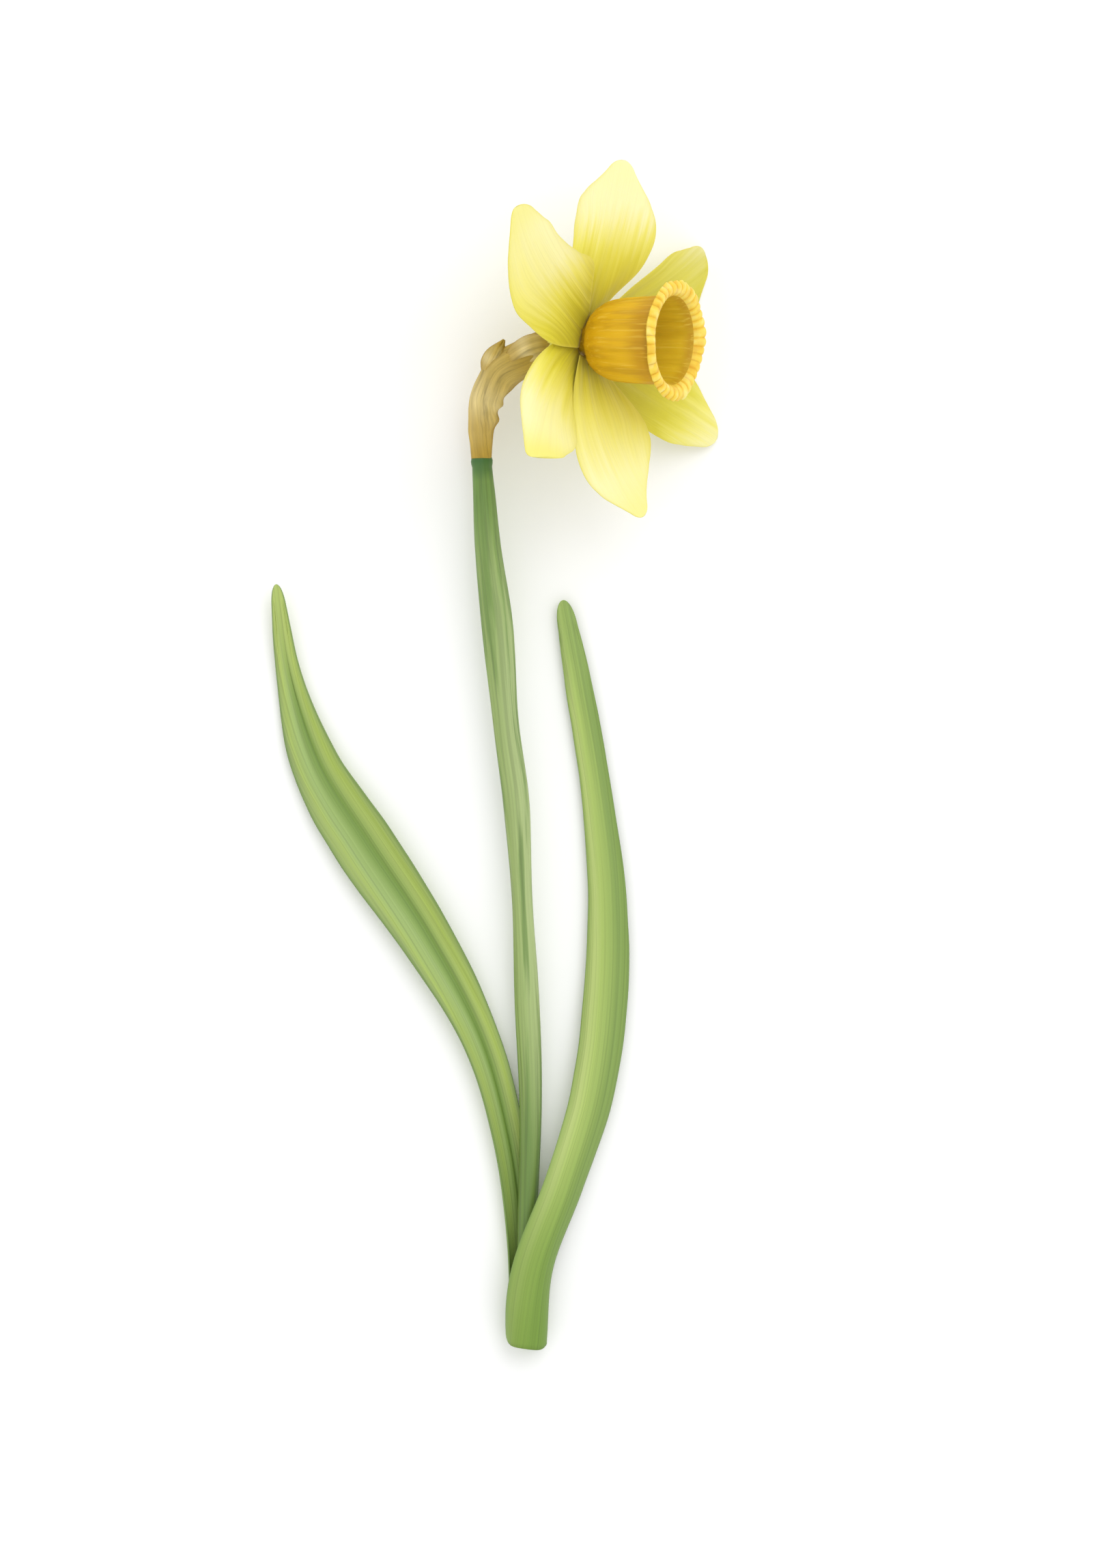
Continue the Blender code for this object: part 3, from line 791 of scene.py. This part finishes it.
grow_rod("flower_stalk", [neck_green], 32, 40,
         neck_shape(PEDICEL_SPAN, stalk_radius), length=22 * MM, node="pedicel")
grow_rod("seed_ovary", [neck_green], 48, 30,
         neck_shape(OVARY_SPAN, ovary_radius), length=8 * MM, node="ovary")
grow_rod("flower_tube", [tube_tissue], 60, 26,
         neck_shape(TUBE_SPAN, tube_radius), length=9 * MM, node="perianth_tube",
         capped=False, wall={"thickness": 0.8 * MM, "edge_share": 1.0})

# %% [markdown]
# ## Papery sheath
# The spathe wrapped the bud, split when the flower opened, and dried to brown paper. It is
# a wrinkled blade rolled round the neck, with a torn margin on the inner side and two
# leaf-like scraps that stand off above the bend. Cloth simulation could crumple it, but
# lengthwise wrinkles that follow the roll are closer to how the dry tissue shrinks.

# %% Dry paper finish
def make_paper_finish(name, seed):
    """Dry brown paper, palest at its middle, with painted shade in its wrinkles, painted
    highlights between them, and darker edges.
    """
    finish, tree, shader = start_finish(name)
    across, along = places(tree)
    soft = streaks(tree, 0.55, 16, seed, 5)
    fine = streaks(tree, 2.6, 20, seed + 3, 3)
    body = ramp(tree, along, (
        (0.0, tint(184, 152, 60)), (0.18, tint(200, 172, 94)), (0.42, tint(222, 200, 134)),
        (0.66, tint(198, 172, 92)), (0.9, tint(176, 146, 54))))
    # Painted shade and highlight: the streaks are painted darker in the wrinkles' crevices and
    # paler on their ridges.
    folds = ramp(tree, soft, (
        (0.32, grey(0.64)), (0.46, grey(0.97)), (0.56, grey(1.10)), (0.72, grey(1.30))))
    body = blend_colours(tree, 0.9, body, folds, "MULTIPLY")
    body = draw_lines(tree, fine, body, 0.8, 0.74, 1.1, start=0.32)
    body = tone_edges(tree, across, 9.0, 0.7, body, tint(160, 124, 40))
    connect(tree, shader, body, fine, 0.25, 0.5, 0.3 * MM)
    tune(shader, Specular_IOR_Level=0.3)
    return finish


# %% Growing the sheath and its two scraps
SPATHE_SPAN = (0.008, 0.80)
SPATHE_RADII = (2.6, 3.1, 3.8, 4.6, 5.1, 4.6, 3.6)   # mm
SPATHE_THICKNESS = 0.4 * MM
SPATHE_REACH, SPATHE_OPENING = math.radians(150), math.radians(-20)


def spathe_shape(t, w):
    """A blade rolled round the neck, wrinkled, with two bulges near its margins."""
    at = SPATHE_SPAN[0] + t * (SPATHE_SPAN[1] - SPATHE_SPAN[0])
    point, _, side, top = frame_on(NECK, at)
    angle = SPATHE_OPENING + math.pi + w * SPATHE_REACH
    radius = spline(SPATHE_RADII, t)
    free = rise(0.0, 0.2, t)
    wrinkle = 0.34 * math.cos(9 * angle + 2.2 * wander(3, 4 * t))
    radius += free * wrinkle * (0.6 + 0.6 * wander(4, w, 3 * t))
    radius += free * 0.55 * wander(8, 2.2 * w, 6 * t)
    bulges = bump_at(0.27, 0.04, t) + 1.2 * bump_at(0.425, 0.05, t)
    radius += rise(0.55, 0.95, abs(w)) * bulges * 0.9
    return point + (side * math.cos(angle) + top * math.sin(angle)) * radius * MM


def scrap_shape(line, half_widths, cup, seed):
    """A small leaf-like scrap along a line, cupped downwards."""

    def shape(t, w):
        point, _, side, top = frame_on(line, t)
        half = spline(half_widths, t) * MM
        drop = cup * half * w * w - 0.25 * MM * math.cos(7 * w + seed) * rise(0, 0.2, t)
        uneven = 0.3 * MM * wander(seed, 2 * w, 4 * t)
        return point + side * w * half + top * (uneven - drop)

    return shape


paper = make_paper_finish("dry_paper", 1.0)
TORN_EDGE = 0.7   # the paper's edge is this share of its thickness
UPPER_SCRAP = (mm(-1.7, 102.0, 17.8), mm(-0.9, 104.8, 20.0), mm(0.8, 108.1, 21.2),
               mm(2.6, 111.4, 21.0))
LONG_SCRAP = (mm(3.6, 105.2, 22.6), mm(7.2, 107.6, 26.2), mm(11.0, 109.2, 28.4),
              mm(14.9, 109.9, 29.0))
grow_blade("papery_sheath", [paper], 90, 120, spathe_shape,
           SPATHE_THICKNESS, TORN_EDGE, "spathe")
grow_blade("sheath_scrap_upper", [paper], 24, 36,
           scrap_shape(UPPER_SCRAP, (1.9, 3.0, 2.4, 0.25), 0.5, 3), SPATHE_THICKNESS, TORN_EDGE)
grow_blade("sheath_scrap_long", [paper], 24, 36,
           scrap_shape(LONG_SCRAP, (2.2, 3.4, 3.2, 0.8), 0.5, 5), SPATHE_THICKNESS, TORN_EDGE)

# %% [markdown]
# ## Stem
# The stem (the scape) is a slightly flattened rod with three long ridges and a groove. They
# turn slowly about it, so it looks wider and narrower along its length. Its top ends in a
# dark green collar under the sheath. Its cut end is slightly sunken and shows pale.

# %% Stem finishes
def make_flesh_finish():
    """The pale wet flesh that a knife lays bare."""
    finish, tree, shader = start_finish("cut_flesh")
    spot = add(tree, "ShaderNodeTexCoord").outputs["Object"]
    cells = add(tree, "ShaderNodeTexVoronoi", Vector=spot, Scale=2200.0).outputs["Distance"]
    body = ramp(tree, cells, ((0.1, tint(206, 220, 158)), (0.7, tint(168, 192, 112))))
    connect(tree, shader, body, cells, 0.3, 0.25, 0.2 * MM)
    return finish


def make_stem_finish():
    """Dark at both ends and paler in the middle, with a painted highlight on the wax bloom on the
    side towards +X, where the lamp stands.
    """
    finish, tree, shader = start_finish("stem_tissue")
    sideways, along = places(tree)
    soft = streaks(tree, 0.42, 60, 9, 4)
    fine = streaks(tree, 1.5, 90, 12, 3)
    uneven = calculate(tree, "MULTIPLY_ADD", soft, 0.2, -0.1)
    body = ramp(tree, calculate(tree, "ADD", along, uneven), (
        (0.0, tint(92, 126, 46)), (0.16, tint(108, 138, 58)), (0.34, tint(146, 170, 92)),
        (0.6, tint(154, 176, 102)), (0.84, tint(142, 168, 90)), (0.96, tint(106, 142, 60))))
    # Painted highlight: the wax bloom is painted pale on the side towards +X, where the lamp
    # stands.
    light = calculate(tree, "MULTIPLY_ADD", sideways, 0.5, 0.5)
    wax_bloom_and_highlight = ramp(tree, along, (
        (0.1, grey(0.0)), (0.4, grey(0.75)), (0.7, grey(0.7)), (0.95, grey(0.1))))
    body = blend_colours(tree, calculate(tree, "MULTIPLY", light, wax_bloom_and_highlight), body, tint(182, 198, 140))
    shadows = ramp(tree, soft, ((0.38, grey(0.9)), (0.52, grey(0.0))))
    body = blend_colours(tree, calculate(tree, "MULTIPLY", shadows, 0.8), body, tint(104, 136, 62))
    body = draw_lines(tree, fine, body, 0.8, 0.76, 1.14)
    collar = ramp(tree, along, ((0.968, grey(0.0)), (0.988, grey(0.75)), (0.997, grey(1.0))))
    body = blend_colours(tree, collar, body, tint(62, 108, 44))
    connect(tree, shader, body, fine, 0.25, 0.36, 0.2 * MM)
    return finish


# %% Growing the stem
STEM_LINE = (mm(8.4, -160.0, 4.2), mm(8.7, -130.0, 4.4), mm(9.6, -95.0, 5.0), mm(8.6, -65.0, 5.8),
             mm(7.4, -38.0, 6.8), mm(5.9, -13.0, 7.8), mm(3.1, 9.0, 8.9), mm(0.8, 34.0, 10.0),
             mm(-2.0, 57.0, 11.1), mm(-3.5, 80.2, 12.0))
STEM_WIDE = (2.7, 2.6, 3.0, 3.3, 2.75, 3.6, 3.5, 4.15, 3.45, 2.6)   # mm from the middle, sideways
STEM_DEEP = (2.6, 2.6, 2.9, 3.0, 3.4, 2.9, 3.0, 2.8, 2.8, 2.7)      # and up
STEM_TWIST = 2.4   # radians from the cut end to the top


def stem_shape(t, angle):
    """An oval rod with slowly turning ridges, one groove and a collar at its top."""
    point, _, side, top = frame_on(STEM_LINE, t)
    turned = angle - STEM_TWIST * t
    groove = 0.09 * bump_at(0, 0.10, math.sin(turned / 2 - 0.9))
    uneven = 0.03 * wander(2, math.cos(angle), math.sin(angle), 9 * t)
    ridges = 0.05 * math.cos(3 * turned + 0.8) + 0.014 * math.cos(19 * turned) + uneven - groove
    ridges *= rise(0.12, 0.3, t) * (1 - rise(0.94, 0.985, t))
    collar = rise(0.988, 0.995, t) * (0.02 + 0.10 * abs(math.cos(angle)) ** 3)
    collar *= 1 - 0.5 * rise(0.998, 1, t)
    scale = (1 + ridges + collar) * MM
    wide, deep = spline(STEM_WIDE, t) * scale, spline(STEM_DEEP, t) * scale
    return point + side * wide * math.cos(angle) + top * deep * math.sin(angle)


grow_rod("stem", [make_stem_finish(), make_flesh_finish()], 96, 260, stem_shape,
         length=240 * MM, node="scape", hollow={"rim": 1.2 * MM, "depth": 2 * MM})

# %% [markdown]
# ## Leaves
# A daffodil leaf is a long strap, folded to a channel at its base where it clasps the stem
# and flatter above. Its section is an arc, set by a half width and a bend radius. The left
# leaf lies with its channel up, so its midrib shows as a groove, with painted shade along
# it; the right leaf lies over, so its back shows, with a painted highlight on one flank and
# painted shade on the other.

# %% Leaf finish
def make_leaf_finish(name, stripes_and_painted_light, base, tip, midrib, seed):
    """The colours listed first run from the left margin to the right one: the leaf's own stripes,
    and on the right leaf painted light and shade across its curve. base and tip tone the ends,
    and on the left leaf the base colour is partly painted light.
    """
    finish, tree, shader = start_finish(name)
    across, along = places(tree)
    soft = streaks(tree, 0.36, 90, seed, 4)
    fine = streaks(tree, 1.9, 140, seed + 3, 3)
    uneven = calculate(tree, "MULTIPLY_ADD", soft, 0.26, 0.37)
    position = calculate(tree, "MULTIPLY_ADD", across, 0.5, uneven)
    body = ramp(tree, position, stripes_and_painted_light, smooth=False)
    foot = ramp(tree, along, ((0.0, grey(0.7)), (0.1, grey(0.6)), (0.34, grey(0.0))))
    body = blend_colours(tree, foot, body, base)
    end = ramp(tree, along, ((0.82, grey(0.0)), (0.97, grey(0.7))))
    body = blend_colours(tree, end, body, tip)
    # The midrib stripe is painted light: painted shade in the left leaf's groove, a painted
    # grey-green sheen along the right leaf's back.
    rib = ramp(tree, calculate(tree, "ABSOLUTE", calculate(tree, "SUBTRACT", across, midrib["at"])),
               ((0.0, grey(1.0)), (midrib["width"], grey(0.0))))
    fade = ramp(tree, along, (
        (0.05, grey(0.2)), (0.2, grey(1.0)), (0.8, grey(0.9)), (0.96, grey(0.0))))
    share = calculate(tree, "MULTIPLY", calculate(tree, "MULTIPLY", rib, fade), midrib["share"])
    body = blend_colours(tree, share, body, midrib["colour"])
    body = draw_lines(tree, fine, body, 0.85, 0.80, 1.12)
    body = tone_edges(tree, across, 14.0, 0.8, body, tint(112, 142, 72))
    connect(tree, shader, body, fine, 0.22, 0.36, 0.2 * MM)
    tune(shader, Specular_IOR_Level=0.4)
    return finish


# Left leaf: its stripes are its own colour; its base colour is partly painted light, raised to lift
# the shade where the right leaf lies over it, and its midrib stripe is painted shade in the groove.
left_leaf_tissue = make_leaf_finish(
    "left_leaf_tissue",
    ((0.0, tint(152, 172, 106)), (0.18, tint(168, 190, 98)), (0.34, tint(158, 184, 108)),
     (0.5, tint(142, 170, 84)), (0.66, tint(172, 192, 110)), (0.82, tint(168, 190, 88)),
     (1.0, tint(160, 182, 104))),
    tint(142, 174, 84), tint(184, 202, 110),
    {"at": 0.12, "width": 0.42, "share": 0.85, "colour": tint(112, 146, 58)}, 21.0)
# Right leaf: painted light, paler on the left flank and darker on the right, with a painted
# grey-green sheen along the middle of its back.
right_leaf_tissue = make_leaf_finish(
    "right_leaf_tissue",
    ((0.0, tint(160, 184, 98)), (0.18, tint(188, 206, 122)), (0.38, tint(170, 194, 100)),
     (0.55, tint(150, 176, 88)), (0.72, tint(132, 160, 76)), (1.0, tint(124, 152, 70))),
    tint(104, 142, 36), tint(148, 174, 92),
    {"at": 0.5, "width": 0.3, "share": 0.35, "colour": tint(134, 162, 86)}, 27.0)

# %% Growing the leaves
# half_widths and bends are in mm, measured round the leaf's arc from cut end to tip; rolls
# turn it about its length, in degrees; opens is 1 for a channel that opens upwards; keel is
# how far the midrib stands up into the channel, in mm.
LEAF_THICKNESS = 0.9 * MM
LEFT_LEAF = dict(
    opens=1, seed=4, keel=-0.5,
    line=(mm(8.4, -160.0, 0.5), mm(7.0, -130.0, 0.7), mm(3.2, -103.0, 1.6), mm(-4.4, -76.0, 2.6),
          mm(-19.0, -48.5, 2.6), mm(-35.5, -23.5, 1.4), mm(-48.3, -2.5, 0.6),
          mm(-55.6, 21.0, 1.2), mm(-59.2, 46.4, 5.0)),
    half_widths=(7.2, 5.2, 5.0, 5.6, 7.8, 9.2, 7.2, 3.8, 2.1),
    bends=(3.75, 4.6, 7.0, 9.0, 11.0, 12.0, 10.0, 6.0, 3.0),
    rolls=(0, 10, 20, 13, 0, -6, -6, -4, 0),
)
RIGHT_LEAF = dict(
    opens=-1, seed=6, keel=0.0,
    line=(mm(8.4, -160.0, 9.4), mm(11.6, -138.0, 9.6), mm(19.6, -115.5, 8.6), mm(26.9, -91.0, 6.6),
          mm(30.2, -64.0, 4.8), mm(30.3, -36.0, 3.8), mm(27.1, -7.0, 3.0),
          mm(22.8, 18.5, 3.0), mm(18.4, 42.2, 2.4)),
    half_widths=(8.4, 7.0, 6.3, 6.4, 6.4, 5.3, 4.2, 3.8, 2.7),
    bends=(5.2, 6.9, 9.0, 9.5, 9.5, 9.0, 7.5, 7.0, 6.0),
    rolls=(0, 24, 25, 14, 4, 0, 0, 0, 0),
)
LEAF_TIP_ROUNDING = 0.04
LEAF_TIP_POWER = 16   # the rounding stays this close to the tip
CORNER = 1.8 * MM     # the cut's corners are rounded off by this much
VEINS = 7             # ridges on each side of the midrib
LEAF_COLUMNS, LEAF_ROWS = 48, 200


def leaf_shape(leaf):
    """The function that places a leaf's surface."""
    seed = leaf["seed"]
    halves = rounded_outline(leaf["half_widths"], LEAF_TIP_ROUNDING, LEAF_TIP_POWER)

    def shape(t, w):
        point, ahead, side, top = frame_on(leaf["line"], t)
        roll = math.radians(spline(leaf["rolls"], t))
        bend = spline(leaf["bends"], t) * MM
        uneven = 1 + 0.03 * wander(seed, 22 * t, 3 * (w > 0)) * rise(0.2, 0.4, t)
        angle = w * outline_at(halves, t) * MM / bend * uneven
        across = side * math.cos(roll) - top * math.sin(roll)
        inward = (side * math.sin(roll) + top * math.cos(roll)) * leaf["opens"]
        veins = 0.05 * math.cos(2 * math.pi * VEINS * w) * (1 - w ** 6) * (1 - rise(0.95, 1, t))
        keel = leaf["keel"] * bump_at(0.12, 0.09, w) * rise(0.1, 0.25, t) * (1 - rise(0.8, 0.97, t))
        depth = bend * (1 - math.cos(angle)) + (veins + keel) * MM
        point = point + ahead * CORNER * abs(math.sin(angle)) ** 6 * (1 - rise(0, 0.014, t))
        return point + across * bend * math.sin(angle) + inward * depth

    return shape


for hand, leaf, look in (("left", LEFT_LEAF, left_leaf_tissue),
                         ("right", RIGHT_LEAF, right_leaf_tissue)):
    grow_blade(hand + "_leaf", [look], LEAF_COLUMNS, LEAF_ROWS, leaf_shape(leaf),
               LEAF_THICKNESS, edge_share=0.5, node="leaf_" + hand, crowding=TIP_CROWDING)

# %% [markdown]
# ## Studio: table, light and camera
# The flower lies on a pale table under a white sky, so shadows are faint. One wide lamp
# stands high beyond the flower, on the side that the trumpet faces, and gives the petals
# their soft modelling. The camera looks straight down from far away through a long lens,
# which keeps the proportions true.

# %% Table
TABLE_REACH = 4.0   # metres from its middle to each edge


def make_table():
    """A wide sheet of pale paper under everything."""
    bm = bmesh.new()
    bmesh.ops.create_grid(bm, x_segments=1, y_segments=1, size=TABLE_REACH)
    mesh = bpy.data.meshes.new("table")
    bm.to_mesh(mesh)
    bm.free()
    table = bpy.data.objects.new("table", mesh)
    bpy.context.scene.collection.objects.link(table)
    finish, tree, shader = start_finish("table_paper")
    spot = add(tree, "ShaderNodeTexCoord").outputs["Object"]
    cloudy = add(tree, "ShaderNodeTexNoise", Vector=spot, Scale=6.0, Detail=2.0).outputs[0]
    body = ramp(tree, cloudy, ((0.3, grey(0.97)), (0.7, grey(0.985))))
    tree.links.new(body, shader.inputs["Base Color"])
    tune(shader, Roughness=0.9, Specular_IOR_Level=0.1)
    mesh.materials.append(finish)
    print("table laid")


make_table()

# %% Light
SKY = 1.0
LAMP_WATTS, LAMP_WIDTH = 6.5, 1.4
LAMP_AT, LAMP_AIM = Vector((0.55, 0.75, 1.35)), Vector((0.02, 0.05, 0.0))


def light_the_studio():
    """A white sky and one wide round lamp."""
    world = bpy.data.worlds.new("studio")
    world.use_nodes = True
    sky = world.node_tree.nodes["Background"]
    sky.inputs["Color"].default_value = (1.0, 1.0, 1.0, 1.0)
    sky.inputs["Strength"].default_value = SKY
    bpy.context.scene.world = world
    lamp = bpy.data.lights.new("window", "AREA")
    lamp.shape = "DISK"
    lamp.size = LAMP_WIDTH
    lamp.energy = LAMP_WATTS
    window = bpy.data.objects.new("window", lamp)
    bpy.context.scene.collection.objects.link(window)
    window.location = LAMP_AT
    window.rotation_euler = (LAMP_AIM - LAMP_AT).to_track_quat("-Z", "Y").to_euler()
    print("sky strength", SKY, "and lamp", LAMP_WATTS, "W")


light_the_studio()

# %% Camera
CAMERA_AT = (0.0157, -0.0064, 1.5956)
FOCAL_LENGTH, SENSOR_HEIGHT = 135, 36   # mm


def place_camera():
    """A long lens that looks straight down on the flower."""
    lens = bpy.data.cameras.new("camera")
    lens.lens = FOCAL_LENGTH
    lens.sensor_fit = "VERTICAL"
    lens.sensor_height = SENSOR_HEIGHT
    camera = bpy.data.objects.new("camera", lens)
    bpy.context.scene.collection.objects.link(camera)
    camera.location = CAMERA_AT
    bpy.context.scene.camera = camera
    bpy.context.scene.view_settings.view_transform = "Standard"
    print("camera", round(camera.location.z, 3), "m above the table")


place_camera()
